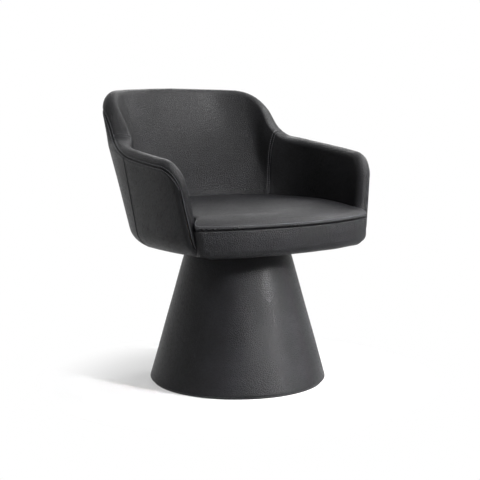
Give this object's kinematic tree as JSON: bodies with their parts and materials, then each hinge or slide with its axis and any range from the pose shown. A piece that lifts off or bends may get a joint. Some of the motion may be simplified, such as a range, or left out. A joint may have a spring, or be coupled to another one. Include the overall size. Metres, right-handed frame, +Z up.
{
  "type": "pedestal swivel armchair",
  "caption": "Leather tub armchair with a barrel back that wraps into low arms, a tight crowned seat and a leather covered cone pedestal with a hidden swivel.",
  "frame": {"origin": "on the floor on the turning axis, at the middle of the underside of the floor pad", "axes": "+Z up along the turning axis; the sitter faces -Y; the sitter's left arm lies towards +X"},
  "size_m": [0.673, 0.6537, 0.7998],
  "materials": {
    "leather": "satin",
    "foam": "matte",
    "wadding": "matte",
    "black_cloth": "matte",
    "webbing": "matte",
    "plywood": "satin",
    "floor_pad": "matte",
    "ballast_steel": "satin",
    "zinc_steel": "satin",
    "black_steel": "satin",
    "ball_steel": "polished",
    "nylon": "satin"
  },
  "bodies": {
    "pedestal": {"floor_pad": "floor_pad", "bottom_board": "plywood", "ballast_plate": "ballast_steel", "ballast_screws": "zinc_steel", "cross_rib": "plywood", "notched_rib": "plywood", "pedestal_skin": "plywood", "pedestal_foam": "foam", "pedestal_cover": "leather", "top_board": "plywood", "board_screws": "zinc_steel", "lower_plate": "zinc_steel", "lower_bolts": "black_steel", "lower_nuts": "zinc_steel", "centre_rivet": "zinc_steel"},
    "race": {"ball_cage": "nylon", "balls": "ball_steel"},
    "seat": {"upper_plate": "zinc_steel", "upper_bolts": "black_steel", "tee_nuts": "zinc_steel", "seat_board": "plywood", "seat_frame": "plywood", "frame_screws": "zinc_steel", "long_straps": "webbing", "cross_straps": "webbing", "seat_foam": "foam", "front_foam": "foam", "seat_cover": "leather", "seat_band": "leather", "tub_shell": "plywood", "back_foam": "foam", "right_arm_foam": "foam", "left_arm_foam": "foam", "outer_wadding": "wadding", "back_lining": "leather", "right_arm_lining": "leather", "left_arm_lining": "leather", "back_panel": "leather", "right_panel": "leather", "left_panel": "leather", "dust_cover": "black_cloth"}
  },
  "joints": [
    {"name": "seat_swivel", "type": "hinge", "parent": "pedestal", "child": "seat", "pos_m": [0, 0, 0.378], "axis": [0, 0, 1], "continuous": true},
    {"name": "race_turn", "type": "hinge", "parent": "pedestal", "child": "race", "pos_m": [0, 0, 0.378], "axis": [0, 0, 1], "continuous": true}
  ],
  "couplings": [
    {"joint": "race_turn", "follows": "seat_swivel", "ratio": 0.5}
  ]
}
